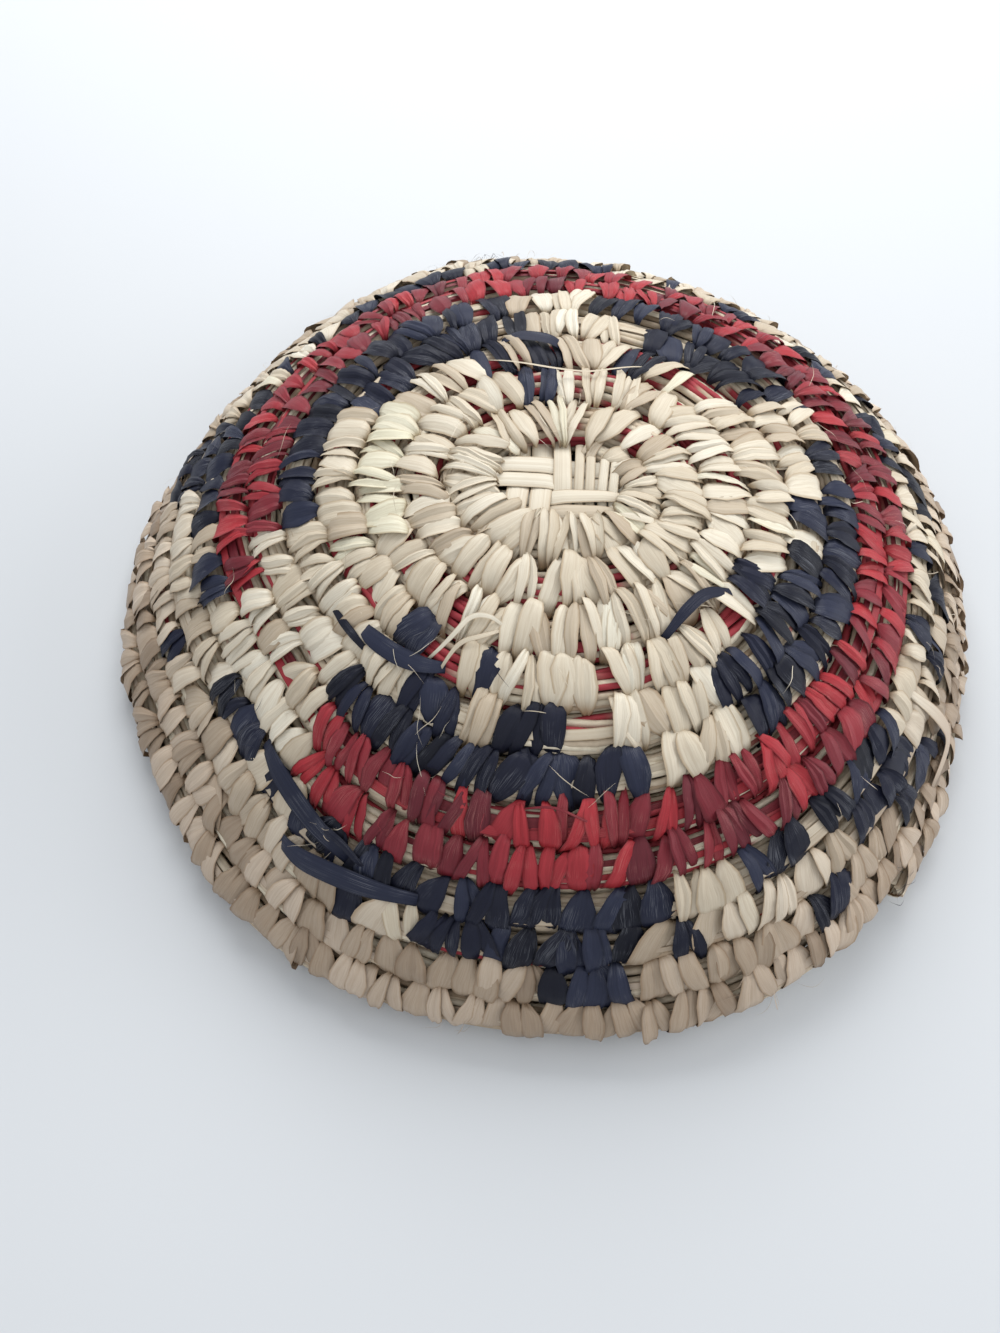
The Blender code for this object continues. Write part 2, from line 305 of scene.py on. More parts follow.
def grown(name, carrier, tree, values):
    """The plain mesh object that an arrangement makes on a carrier mesh, which is then removed."""
    holder = bpy.data.objects.new(name + "_carrier", carrier)
    bpy.context.scene.collection.objects.link(holder)
    modifier = holder.modifiers.new("arrangement", "NODES")
    modifier.node_group = tree
    for item in tree.interface.items_tree:
        if item.in_out == "INPUT" and item.name in values:
            modifier[item.identifier] = values[item.name]
    bpy.context.view_layer.update()
    evaluated = holder.evaluated_get(bpy.context.evaluated_depsgraph_get())
    mesh = bpy.data.meshes.new_from_object(evaluated)
    bpy.data.objects.remove(holder)
    mesh.name = name
    piece = bpy.data.objects.new(name, mesh)
    bpy.context.scene.collection.objects.link(piece)
    return piece


def mesh_with(name, points, edges=(), faces=(), **attributes):
    """A mesh whose points carry named numbers or vectors."""
    mesh = bpy.data.meshes.new(name)
    mesh.from_pydata([tuple(point) for point in points], list(edges), list(faces))
    for title, values in attributes.items():
        values = np.asarray(values, dtype=float)
        kind = "FLOAT_VECTOR" if values.ndim == 2 else "FLOAT"
        layer = mesh.attributes.new(title, kind, "POINT")
        layer.data.foreach_set("vector" if values.ndim == 2 else "value", values.ravel())
    return mesh


def seat(piece, slot, *nodes):
    """A finished piece rides on the basket and stands for CAD nodes, which it hides; slot is not
    used.
    """
    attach(piece, "root")
    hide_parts(*nodes)


# The straws twist round the middle of the bundle and wander in and out as they go
STRAWS = 18
STRAW_RADIUS = 0.00076
STRAW_SIDES = 5
STRAW_STEP = 0.0050
STRAW_FLOOR = 0.0003
STRAW_TWIST = 1.6
STRAW_REACH = 0.82
STRAW_REACH_SPREAD = 0.28
STRAW_WANDER = 1.4
WANDERS_TO_A_TURN = 18.0
WANDERS_APART = 7.3

straw_tree, bench, given = new_arrangement(
    "straws_along_the_coil", ("Straws", "Int"), ("Straw radius", "Float"), ("Wander", "Float"),
    ("Floor", "Float"), ("Finish", "Material"))
path = bench.add("GeometryNodeMeshToCurve", {}, {"Mesh": given["Geometry"]})
copies = bench.add("GeometryNodeDuplicateElements", {"domain": "SPLINE"},
                   {"Geometry": path, "Amount": given["Straws"]})
straw = copies.of("Duplicate Index")
turn_now = bench.stored("turn")
wander_place = bench.vector(turn_now * WANDERS_TO_A_TURN, straw * WANDERS_APART, 0.0)
drift = bench.noise(wander_place, 1.0) - 0.5
angle = straw * (2 * math.pi / STRAWS) + turn_now * STRAW_TWIST + drift * given["Wander"]
reach = STRAW_REACH + drift * STRAW_REACH_SPREAD
sideways = bench.add("ShaderNodeMath", {"operation": "COSINE"}, {0: angle}) * reach
sideways = bench.scaled(bench.stored("down", "FLOAT_VECTOR"), sideways * bench.stored("half_row"))
upwards = bench.add("ShaderNodeMath", {"operation": "SINE"}, {0: angle}) * reach
upwards = bench.scaled(bench.stored("out", "FLOAT_VECTOR"), upwards * bench.stored("crown"))
aside = bench.add("ShaderNodeVectorMath", {"operation": "ADD"}, {0: sideways, 1: upwards})
laid = bench.add("GeometryNodeSetPosition", {}, {"Geometry": copies, "Offset": aside})
kept = bench.add("GeometryNodeStoreNamedAttribute", {"data_type": "FLOAT", "domain": "POINT"},
                 {"Geometry": laid, "Name": "straw", "Value": straw})
ring = bench.add("GeometryNodeCurvePrimitiveCircle", {"mode": "RADIUS"},
                 {"Resolution": STRAW_SIDES, "Radius": given["Straw radius"]})
tubes = bench.add("GeometryNodeCurveToMesh", {},
                  {"Curve": kept, "Profile Curve": ring, "Fill Caps": True})
rested = bench.kept_above(tubes, given["Floor"])
smooth = bench.add("GeometryNodeSetShadeSmooth", {}, {"Geometry": rested})
whole = bench.add("GeometryNodeRealizeInstances", {}, {"Geometry": smooth})
finished = bench.add("GeometryNodeSetMaterial", {},
                     {"Geometry": whole, "Material": given["Finish"]})
hand_over(bench, finished)

# Dry straw: a tone from straw to straw, some dyed crimson, and all of them finely streaked
STRAW_ROUGHNESS = 0.7
STRAW_TONES = ((0.30, (0.46, 0.35, 0.24)), (0.46, (0.70, 0.60, 0.46)), (0.64, (0.82, 0.76, 0.61)))
DYED_STRAW = (0.40, 0.045, 0.060, 1.0)
STREAK = (0.35, 0.26, 0.18, 1.0)
STREAK_FINENESS = 900.0
straw_finish, shader, bench = new_material("dry_straw", STRAW_ROUGHNESS)
straw_seed = bench.vector(bench.attribute("turn") * 3.0, bench.attribute("straw") * 5.7, 0.0)
tone = bench.ramp(bench.noise(straw_seed, 1.3, 1.0), *STRAW_TONES)
dyed = bench.step(bench.noise(straw_seed, 2.1, 0.0) + bench.attribute("dye") * 0.25, 0.61, 0.64)
colour = bench.blend(dyed, tone, DYED_STRAW)
streaks = bench.noise(bench.object_place(), STREAK_FINENESS, 3.0)
colour = bench.blend(streaks * 0.5, colour, STREAK, "MULTIPLY")
feed(bench, shader, "Base Color", colour)

coil_turns = [START_TURN]
while coil_turns[-1] < END_TURN:
    spot = coil_frame(coil_turns[-1])[0][0]
    coil_turns.append(coil_turns[-1] + STRAW_STEP / (2 * math.pi * math.hypot(spot[0], spot[1])))
coil_turns[-1] = END_TURN
coil_turns = np.array(coil_turns)
# How freely the straws are dyed red: more between the first turns and under the crimson rows
DYE_TURNS = (0.0, 0.8, 1.9, 3.1, 3.6, 5.0, 5.2, 7.2, 7.4, 12.0)
DYE_AMOUNTS = (-0.3, 0.45, 0.4, 0.3, -0.3, -0.3, 0.2, 0.2, -0.3, -0.6)
centre, half, down_dir, out_dir = coil_frame(coil_turns)
coil_path = mesh_with("coil_path", centre, [(index, index + 1) for index in range(len(centre) - 1)],
                      down=down_dir, out=out_dir, half_row=half, crown=crown_of(half),
                      turn=coil_turns, dye=np.interp(coil_turns, DYE_TURNS, DYE_AMOUNTS))
bundle = grown("foundation_bundle", coil_path, straw_tree,
               {"Straws": STRAWS, "Straw radius": STRAW_RADIUS, "Wander": STRAW_WANDER,
                "Floor": STRAW_FLOOR, "Finish": straw_finish})
seat(bundle, "foundation_fibre", "foundation_coil")

# The stitching. Flat strips of dried leaf, each wound over the bundle and down through the stitch
# of the row before. Near the crown they show as tongues, broad at the inner end and pointed at the
# outer one; further out as leaf shapes, on the rim as bells. Some are split, doubled or gathered.

# Their way round a row, seen along the coil: down the wall in half rows, out in crown heights
INNER_PATH = np.array([
    (-1.46, 0.66), (-1.36, 0.97), (-1.08, 1.13), (-0.68, 1.20), (-0.20, 1.21), (0.30, 1.12),
    (0.72, 0.88), (1.02, 0.46), (1.10, -0.12), (0.35, -1.00), (-0.60, -0.92), (-1.30, 0.12),
])
OUTER_PATH = np.array([
    (-1.54, 0.64), (-1.44, 0.98), (-1.12, 1.13), (-0.70, 1.20), (-0.20, 1.20), (0.28, 1.11),
    (0.68, 0.88), (0.96, 0.46), (1.02, -0.12), (0.35, -1.00), (-0.60, -0.92), (-1.38, 0.12),
])
# The part of that way that shows, and how wide a strip is along it
SEEN_SHARE = 0.66
TONGUE_WIDTHS = (0.42, 0.74, 0.97, 1.05, 0.98, 0.78, 0.53, 0.30, 0.18, 0.78, 0.84, 0.3)
BLADE_WIDTHS = (0.26, 0.52, 0.80, 1.00, 1.02, 0.87, 0.63, 0.37, 0.22, 0.74, 0.80, 0.3)
LEAF_WIDTHS = (0.20, 0.40, 0.66, 0.92, 1.05, 1.02, 0.84, 0.56, 0.36, 0.84, 0.86, 0.2)
RIBBON_WIDTHS = (0.46, 0.64, 0.84, 0.97, 1.0, 0.98, 0.88, 0.70, 0.52, 0.90, 0.92, 0.3)
BELL_WIDTHS = (0.30, 0.48, 0.64, 0.80, 0.95, 1.06, 1.12, 1.08, 0.98, 1.0, 0.92, 0.25)
# The six edges of a strip, five across its face and one under its middle, and how high each lies
STRIP_SIDES = (-1.0, -0.5, 0.0, 0.5, 1.0, 0.0)
CUPPED = (-0.03, 0.03, 0.05, 0.02, -0.03, -0.04)
CREASED = (0.00, 0.06, 0.00, 0.05, -0.01, -0.06)
RIDGED = (-0.05, 0.00, 0.07, 0.01, -0.04, -0.03)
LEVEL = (-0.01, 0.02, 0.03, 0.02, -0.01, -0.04)
CURLED = (0.07, 0.01, 0.01, 0.03, -0.03, -0.05)
SECTIONS = (CUPPED, CREASED, RIDGED, LEVEL, CURLED)
BOW = 0.14

rng = np.random.default_rng(23)


def strip_faces(rings, base=0):
    """Faces of one closed strip whose rings follow each other in a list of points."""
    ring = len(STRIP_SIDES)
    faces = []
    for index in range(rings - 1):
        for side in range(ring):
            other = (side + 1) % ring
            faces.append((base + index * ring + side, base + index * ring + other,
                          base + (index + 1) * ring + other, base + (index + 1) * ring + side))
    faces.append(tuple(base + side for side in reversed(range(ring))))
    faces.append(tuple(base + (rings - 1) * ring + side for side in range(ring)))
    return faces


def fold_lengthwise(mesh):
    """Shade a mesh of strips smooth along them, with a crisp fold at each lengthwise edge."""
    ring = len(STRIP_SIDES)
    mesh.shade_smooth()
    folds = mesh.attributes.new("sharp_edge", "BOOLEAN", "EDGE")
    ends = np.zeros(2 * len(mesh.edges), dtype=int)
    mesh.edges.foreach_get("vertices", ends)
    first, last = ends[::2], ends[1::2]
    folds.data.foreach_set("value", first % ring == last % ring)


def stitch_template(number, path, *strips):
    """A stitch round a row one unit wide and high, of one strip or more.

    A strip has a width, its places across the stitch at its tip and at its foot, a lift and a tilt.
    """
    steps = np.gradient(path, axis=0)
    steps /= np.linalg.norm(steps, axis=1)[:, None]
    normals = np.stack([-steps[:, 1], steps[:, 0]], axis=1)
    points, faces, across, along = [], [], [], []
    count = len(path)
    for widths, section, width, tip_at, foot_at, lift, tilt in strips:
        faces += strip_faces(count, len(points))
        bow = rng.uniform(-BOW, BOW)
        for index in range(count):
            share = index / (count - 1)
            seen = min(1.0, share / SEEN_SHARE)
            hidden = max(0.0, (share - SEEN_SHARE) / (1 - SEEN_SHARE))
            middle = tip_at + (foot_at - tip_at) * seen + bow * math.sin(math.pi * seen)
            middle += (tip_at - foot_at) * hidden
            reach = width * widths[index] / 2
            for side, height in zip(STRIP_SIDES, section):
                rise = height + lift + tilt * side * width * (1 - hidden)
                spot = path[index] + normals[index] * rise
                points.append((middle + side * reach, spot[0], spot[1]))
                across.append(side)
                along.append(share)
    name = f"stitch_{number:02d}"
    mesh = mesh_with(name, points, faces=faces, across=across, along=along)
    fold_lengthwise(mesh)
    templates.objects.link(bpy.data.objects.new(name, mesh))


# Thirty stitches for the inner rows, thirty for the outer ones and eight bells for the rim
templates = bpy.data.collections.new("stitch_templates")
bpy.context.scene.collection.children.link(templates)
WHOLE, DOUBLED, FORKED = range(0, 12), range(12, 17), range(17, 22)
GATHERED, SLIM = range(22, 26), range(26, 30)
FIRST_OUTER = SLIM[-1] + 1
RIM = range(2 * FIRST_OUTER, 2 * FIRST_OUTER + 8)
INNER_LEAVES = (TONGUE_WIDTHS, BLADE_WIDTHS, TONGUE_WIDTHS, RIBBON_WIDTHS)
OUTER_LEAVES = (LEAF_WIDTHS, LEAF_WIDTHS, BLADE_WIDTHS, RIBBON_WIDTHS)
SWAY, RIM_SWAY = 0.36, 0.14
TILTS, RIM_TILTS = (-0.06, 0.16), (0.0, 0.16)
OVER = 0.10
for first, path, leaves in ((0, INNER_PATH, INNER_LEAVES), (FIRST_OUTER, OUTER_PATH, OUTER_LEAVES)):
    for kind in range(FIRST_OUTER):
        number = first + kind
        leaf, second_leaf = leaves[kind % 4], leaves[(kind + 1) % 4]
        section, second_section = SECTIONS[kind % 5], SECTIONS[(kind + 1) % 5]
        sway, tilt = rng.uniform(-SWAY, SWAY), rng.uniform(*TILTS)
        if kind in WHOLE:
            stitch_template(number, path, (leaf, section, 1.16, -sway, sway, 0.0, tilt))
        elif kind in DOUBLED:
            stitch_template(number, path, (leaf, section, 0.74, -0.20, -0.22 + sway, 0.0, tilt),
                            (second_leaf, second_section, 0.66, 0.18, 0.26 + sway, OVER, tilt))
        elif kind in FORKED:
            stitch_template(number, path,
                            (BLADE_WIDTHS, section, 0.60, -0.06, -0.42 + sway, 0.0, -tilt),
                            (BLADE_WIDTHS, second_section, 0.60, 0.06, 0.42 + sway, OVER, tilt))
        elif kind in GATHERED:
            stitch_template(number, path,
                            (BLADE_WIDTHS, section, 0.62, -0.38, -0.06 + sway, 0.0, -tilt),
                            (TONGUE_WIDTHS, second_section, 0.62, 0.38, 0.06 + sway, OVER, tilt))
        else:
            stitch_template(number, path, (RIBBON_WIDTHS, section, 0.66, -sway, sway, 0.08, tilt))
for number in RIM:
    sway, tilt = rng.uniform(-RIM_SWAY, RIM_SWAY), rng.uniform(*RIM_TILTS)
    stitch_template(number, OUTER_PATH,
                    (BELL_WIDTHS, SECTIONS[number % 5], 1.02, -sway, sway, 0.0, tilt))

BUCKLE_FINENESS = 230.0
CRINKLE_FINENESS = 1100.0
NOISE_MIDDLE = (0.5, 0.5, 0.5)


def shaken(bench, place, fineness, amount):
    """An offset that wanders to all sides from place to place."""
    noise = bench.noise(place, fineness, 1.0).of("Color")
    centred = bench.add("ShaderNodeVectorMath", {"operation": "SUBTRACT"},
                        {0: noise, 1: NOISE_MIDDLE})
    return bench.scaled(centred, amount)


stitch_tree, bench, given = new_arrangement(
    "stitches_along_the_coil", ("Templates", "Collection"), ("Turning", "Vector"),
    ("Size spread", "Vector"), ("Buckle", "Float"), ("Crinkle", "Float"), ("Floor", "Float"),
    ("Seed", "Int"), ("Finish", "Material"))
turning = bench.add("FunctionNodeRandomValue", {"data_type": "FLOAT_VECTOR"},
                    {"Min": bench.scaled(given["Turning"], -1.0), "Max": given["Turning"],
                     "Seed": given["Seed"]})
spread = bench.add("FunctionNodeRandomValue", {"data_type": "FLOAT_VECTOR"},
                   {"Min": bench.scaled(given["Size spread"], -1.0), "Max": given["Size spread"],
                    "Seed": given["Seed"] + 1})
upright = bench.add("FunctionNodeAxesToRotation", {"primary_axis": "Z", "secondary_axis": "Y"},
                    {"Primary Axis": bench.stored("out", "FLOAT_VECTOR"),
                     "Secondary Axis": bench.stored("down", "FLOAT_VECTOR")})
turned = bench.add("FunctionNodeRotateRotation", {"rotation_space": "LOCAL"},
                   {"Rotation": upright,
                    "Rotate By": bench.add("FunctionNodeEulerToRotation", {}, {"Euler": turning})})
size = bench.stored("size", "FLOAT_VECTOR")
scale = bench.add("ShaderNodeVectorMath", {"operation": "MULTIPLY_ADD"},
                  {0: size, 1: spread, 2: size})
shapes = bench.add("GeometryNodeCollectionInfo", {},
                   {"Collection": given["Templates"], "Separate Children": True,
                    "Reset Children": True})
placed = bench.add("GeometryNodeInstanceOnPoints", {},
                   {"Points": given["Geometry"], "Instance": shapes, "Pick Instance": True,
                    "Instance Index": bench.stored("kind"), "Rotation": turned, "Scale": scale})
whole = bench.add("GeometryNodeRealizeInstances", {}, {"Geometry": placed})
place = bench.add("GeometryNodeInputPosition")
push = bench.add("ShaderNodeVectorMath", {"operation": "ADD"},
                 {0: shaken(bench, place, BUCKLE_FINENESS, given["Buckle"]),
                  1: shaken(bench, place, CRINKLE_FINENESS, given["Crinkle"])})
buckled = bench.add("GeometryNodeSetPosition", {}, {"Geometry": whole, "Offset": push})
rested = bench.kept_above(buckled, given["Floor"])
finished = bench.add("GeometryNodeSetMaterial", {},
                     {"Geometry": rested, "Material": given["Finish"]})
hand_over(bench, finished)

FIBRE_DEPTH = 0.00025
LONG_FIBRE_SHADOW, FINE_FIBRE_SHADOW = 0.22, 0.26
# How dark the painted shade is at a strip's edges and tip, where its neighbours would shade it
EDGE_SHADOW = 0.75
RIM_TONES_FROM, RIM_TONES_TO = 0.60, 0.90
WORN_PATCHES = 150.0


def leaf_finish(name, roughness, gloss, tones, shadow, worn, wear_share, bump):
    """Dried leaf: a tone from strip to strip, long fibres, worn places, and painted shade.

    The painted shade darkens the tips and edges and a band where a strip passes under the next
    row. Where there are two sets of tones, the second takes over towards the rim.
    """
    material, shader, bench = new_material(name, roughness, gloss)
    across = bench.attribute("across")
    along = bench.attribute("along")
    shade = bench.attribute("shade")
    colour = bench.ramp(shade, *tones[0])
    if len(tones) > 1:
        near_rim = bench.step(bench.attribute("row"), RIM_TONES_FROM, RIM_TONES_TO)
        colour = bench.blend(near_rim, colour, bench.ramp(shade, *tones[1]))
    fibre_place = bench.vector(across * 4.0 + shade * 90.0, along * 1.4, shade * 31.0)
    fibres = bench.noise(fibre_place, 1.6)
    fine_place = bench.vector(across * 17.0 + shade * 57.0, along * 2.4, shade * 12.0)
    fine = bench.noise(fine_place, 1.9)
    # Painted shade: the edges and tip of a strip, and a band where it passes under the next row,
    # are darkened towards the shadow tone. The fibre lines are darkened with the same tone, as
    # grain.
    edge = bench.add("ShaderNodeMath", {"operation": "ABSOLUTE"}, {0: across})
    shade_under_next_row = bench.step(along, 0.46, 0.66) * bench.step(along, 0.84, 0.74)
    for shadowed in (bench.step(fibres, 0.62, 0.34) * LONG_FIBRE_SHADOW,
                     bench.step(fine, 0.56, 0.34) * FINE_FIBRE_SHADOW,
                     bench.step(edge, 0.72, 1.0) * EDGE_SHADOW,
                     bench.step(along, 0.14, 0.0) * EDGE_SHADOW,
                     shade_under_next_row):
        colour = bench.blend(shadowed, colour, shadow, "MULTIPLY")
    patch = bench.noise(bench.object_place(), WORN_PATCHES, 3.0)
    wear = bench.step(fine, 0.54, 0.64) * bench.step(patch, 0.46, 0.62) * wear_share
    feed(bench, shader, "Base Color", bench.blend(wear, colour, worn))
    feed(bench, shader, "Normal",
         bench.add("ShaderNodeBump", {}, {"Strength": bump, "Distance": FIBRE_DEPTH,
                                          "Height": fibres * 0.5 + fine * 0.5}))
    return material


NATURAL_TONES = ((0.0, (0.48, 0.40, 0.30)), (0.25, (0.62, 0.55, 0.43)), (0.65, (0.70, 0.64, 0.52)),
                 (0.92, (0.76, 0.72, 0.61)), (1.0, (0.72, 0.695, 0.53)))
RIM_TONES = ((0.0, (0.28, 0.21, 0.15)), (0.4, (0.42, 0.33, 0.245)), (0.8, (0.58, 0.48, 0.38)))
NAVY_TONES = ((0.0, (0.005, 0.006, 0.013)), (0.5, (0.010, 0.012, 0.028)),
              (0.85, (0.024, 0.029, 0.056)))
RED_TONES = ((0.0, (0.13, 0.016, 0.026)), (0.5, (0.26, 0.026, 0.038)), (0.85, (0.41, 0.031, 0.041)))
natural_finish = leaf_finish(
    "undyed_leaf", roughness=0.52, gloss=0.35, tones=(NATURAL_TONES, RIM_TONES),
    shadow=(0.62, 0.51, 0.39, 1.0), worn=(0.46, 0.34, 0.22, 1.0), wear_share=0.25, bump=0.22)
navy_finish = leaf_finish(
    "navy_leaf", roughness=0.50, gloss=0.22, tones=(NAVY_TONES,),
    shadow=(0.42, 0.43, 0.50, 1.0), worn=(0.20, 0.21, 0.24, 1.0), wear_share=0.45, bump=0.30)
red_finish = leaf_finish(
    "crimson_leaf", roughness=0.48, gloss=0.28, tones=(RED_TONES,),
    shadow=(0.42, 0.26, 0.30, 1.0), worn=(0.60, 0.28, 0.24, 1.0), wear_share=0.30, bump=0.30)

# Where the colours change: a row, two bearings in degrees counted on from the front left, and a
# colour. On a bare stretch the stitches have worn away
COLOUR_STRETCHES = (
    (2, 255, 262, "bare"), (2, 293, 300, "bare"), (3, 455, 470, "navy"), (4, 236, 244, "bare"),
    (4, 248, 255, "navy"), (4, 282, 287, "bare"), (4, 320, 326, "bare"), (4, 332, 344, "navy"),
    (4, 402, 413, "bare"), (4, 424, 430, "navy"), (4, 455, 466, "navy"), (4, 471, 480, "navy"),
    (5, 237, 249, "navy"), (5, 258, 270, "navy"), (5, 270, 281, "bare"), (5, 305, 318, "mixed"),
    (5, 318, 350, "navy"), (5, 350, 355, "bare"), (5, 356, 370, "navy"), (5, 398, 432, "navy"),
    (5, 432, 437, "bare"), (5, 461, 515, "navy"), (5, 582, 595, "navy"), (6, 235, 288, "navy"),
    (6, 289, 293, "bare"), (6, 309, 381, "navy"), (6, 391, 416, "navy"), (6, 420, 445, "navy"),
    (6, 462, 543, "navy"), (7, 235, 547, "red"), (7, 582, 595, "navy"), (8, 235, 552, "red"),
    (8, 584, 595, "red"), (9, 235, 290, "navy"), (9, 298, 309, "navy"), (9, 314, 335, "navy"),
    (9, 309, 313, "bare"), (9, 348, 510, "mixed"), (9, 510, 540, "navy"), (9, 545, 552, "navy"),
    (9, 586, 595, "red"), (10, 236, 249, "mixed"), (10, 252, 284, "navy"), (10, 288, 292, "navy"),
    (10, 317, 335, "navy"), (10, 345, 400, "mixed"), (10, 514, 530, "navy"),
    (10, 566, 595, "mixed"), (11, 269, 283, "navy"), (11, 308, 313, "navy"),
    (11, 325, 340, "navy"), (11, 518, 530, "navy"), (11, 552, 556, "navy"),
    (12, 338, 341, "navy"),
)
MIXED_NAVY = 0.62


def colour_at(turn, luck):
    """The colour of the leaf at a turn. On a mixed stretch, luck decides between two."""
    for row, low, high, colour in COLOUR_STRETCHES:
        first, last = (row - 1 - (bearing - START_BEARING) / 360.0 for bearing in (high, low))
        if first <= turn <= last:
            if colour == "mixed":
                return "navy" if luck < MIXED_NAVY else "natural"
            return colour
    return "natural"


# From which draw on each kind of stitch is taken
STITCH_KINDS = {
    "natural": ((0.0, WHOLE), (0.38, DOUBLED), (0.48, FORKED), (0.68, GATHERED), (0.86, SLIM)),
    "navy": ((0.0, WHOLE), (0.48, DOUBLED), (0.60, FORKED), (0.82, SLIM)),
    "red": ((0.0, FORKED), (0.34, GATHERED), (0.50, WHOLE), (0.76, SLIM)),
    "bare": ((0.0, WHOLE),),
}
STITCH_WIDTHS = {"natural": 0.96, "navy": 0.90, "red": 0.78}
WIDTH_SPREAD = 0.22
# From stitch to stitch: closest at the middle of the crown, and less for a slim one
LEAST_SPACING, SPACING_GROWTH, MOST_SPACING = 0.0023, 0.036, 0.0053
LEAST_ROOM, ROOM_SPREAD = 0.86, 0.22
SLIM_ROOM = 0.62
# Where the stitching runs, and where on it are the tongues, greenish strips, outer strips and bells
FIRST_STITCH, LAST_STITCH = START_TURN + 0.01, END_TURN - 0.004
TONGUE_TURNS = (0.5, 5.2)
GREENISH_TURNS = (2.10, 2.25)
GREENISH_SHADE = 0.97
OUTER_TURN = 6.5
RIM_TURN = END_TURN - 1.1
stitches = {"natural_inner": [], "natural_outer": [], "navy": [], "red": []}
turn = FIRST_STITCH
while turn < LAST_STITCH:
    middle = coil_frame(turn)[0][0]
    radius = math.hypot(middle[0], middle[1])
    spacing = min(MOST_SPACING, LEAST_SPACING + SPACING_GROWTH * radius)
    luck, choice, shade, jitter = rng.random(4)
    if GREENISH_TURNS[0] < turn < GREENISH_TURNS[1]:
        shade = GREENISH_SHADE + (1 - GREENISH_SHADE) * shade
    colour = colour_at(turn, luck)
    family = [kinds for start, kinds in STITCH_KINDS[colour] if choice >= start][-1]
    if turn > RIM_TURN and family == WHOLE:
        family = RIM
    if colour != "bare":
        group = colour
        if colour == "natural":
            group = "natural_inner" if turn < OUTER_TURN else "natural_outer"
        kind = rng.choice(family)
        if family != RIM and not TONGUE_TURNS[0] < turn < TONGUE_TURNS[1]:
            kind += FIRST_OUTER
        width = spacing * STITCH_WIDTHS[colour] * (1.0 + WIDTH_SPREAD * jitter)
        stitches[group].append((turn, width, kind, shade))
    room = SLIM_ROOM if family == SLIM else 1.0
    turn += spacing * room * (LEAST_ROOM + ROOM_SPREAD * jitter) / (2 * math.pi * radius)

STITCH_SHIFTS = (-0.0009, 0.0006)
STITCH_TURNING = (0.06, 0.14, 0.28)
STITCH_SIZE_SPREAD = (0.15, 0.07, 0.10)
BUCKLE, CRINKLE = 0.0012, 0.0002
STITCH_SEED = 7
FIRST_OUTER_STRIP = 27
finishes = {"natural": natural_finish, "navy": navy_finish, "red": red_finish}
for group, sewn_here in stitches.items():
    colour = group.split("_")[0]
    stitch_turns, widths, kinds, shades = (np.array(values) for values in zip(*sewn_here))
    centre, half, down_dir, out_dir = coil_frame(stitch_turns)
    centre += down_dir * rng.uniform(*STITCH_SHIFTS, (len(half), 1))
    points = mesh_with(f"{group}_stitch_places", centre, down=down_dir, out=out_dir, kind=kinds,
                       size=np.stack([widths, half, crown_of(half)], axis=1), shade=shades,
                       row=stitch_turns / END_TURN)
    sewn = grown(f"{group}_stitches", points, stitch_tree,
                 {"Templates": templates, "Turning": STITCH_TURNING,
                  "Size spread": STITCH_SIZE_SPREAD, "Buckle": BUCKLE, "Crinkle": CRINKLE,
                  "Floor": 0.0, "Seed": STITCH_SEED, "Finish": finishes[colour]})
    nodes = [node for node in record_nodes if node.startswith(f"stitching_{colour}")]
    if colour == "natural":
        nodes = [node for node in nodes
                 if (int(node.split("_")[2]) >= FIRST_OUTER_STRIP) == (group == "natural_outer")]
    seat(sewn, f"{colour}_leaf", *nodes)
for template in list(templates.objects):
    bpy.data.objects.remove(template)
bpy.data.collections.remove(templates)

# Loose ends. Lengths of leaf laid along the coil and over it before they were sewn down, strips
# that have slipped out of their stitches, and thin hairs that have frayed from leaf and straw.

# Each strip: a colour, its width and lift in mm, then stops, each with a bearing in degrees and a
# count of rows
LOOSE_STRIPS = (
    ("navy", 4.2, 1.8, ((219, 7.92), (224, 7.90), (229, 7.95), (235, 8.08), (241, 8.34))),
    ("navy", 4.4, 2.0, ((230, 9.12), (234, 9.00), (239, 8.78), (245, 8.60), (252, 8.52))),
    ("navy", 3.4, 1.9, ((217, 4.20), (221, 4.14), (228, 3.98), (235, 3.80), (241, 3.56))),
    ("navy", 1.6, 1.6, ((208, 4.60), (213, 4.52), (218, 4.46), (223, 4.44))),
    ("navy", 2.2, 2.0, ((303, 2.75), (313, 2.42), (324, 2.35), (331, 2.9))),
    ("navy", 3.2, 2.0, ((109, 3.08), (105, 3.0), (100, 2.9), (95, 2.78), (90, 2.66))),
    ("navy", 1.6, 2.4, ((231, 8.1), (239, 7.9), (244, 8.4))),
    ("natural", 1.0, 2.4, ((236, 3.6), (239, 2.9), (240, 2.4), (246, 2.25), (252, 2.36))),
    ("natural", 0.9, 2.2, ((252, 2.36), (246, 2.7), (241, 2.98), (240, 3.7))),
    ("natural", 3.0, 2.0, ((340, 8.0), (341, 9.4), (341, 10.6), (334, 10.95))),
    ("natural", 0.5, 2.2,
     ((116, 2.60), (108, 2.10), (96, 1.86), (82, 1.80), (72, 2.05), (63, 2.70))),
    ("red", 0.5, 2.4, ((265, 5.92), (271, 5.70), (279, 6.28))),
)
# Ribbons laid on the bundle under the stitches: a colour, a width in mm, a place across the row,
# and the turns between which each runs
LAID_RIBBONS = (
    ("red", 2.3, 0.27, 5.14, 6.99), ("red", 1.9, 0.52, 5.20, 6.96),
    ("natural", 2.2, 0.36, 7.05, 9.60), ("natural", 1.8, 0.54, 7.30, 8.90),
    ("natural", 2.2, 0.38, 9.70, 11.60), ("natural", 2.0, 0.40, 3.30, 5.05),
)
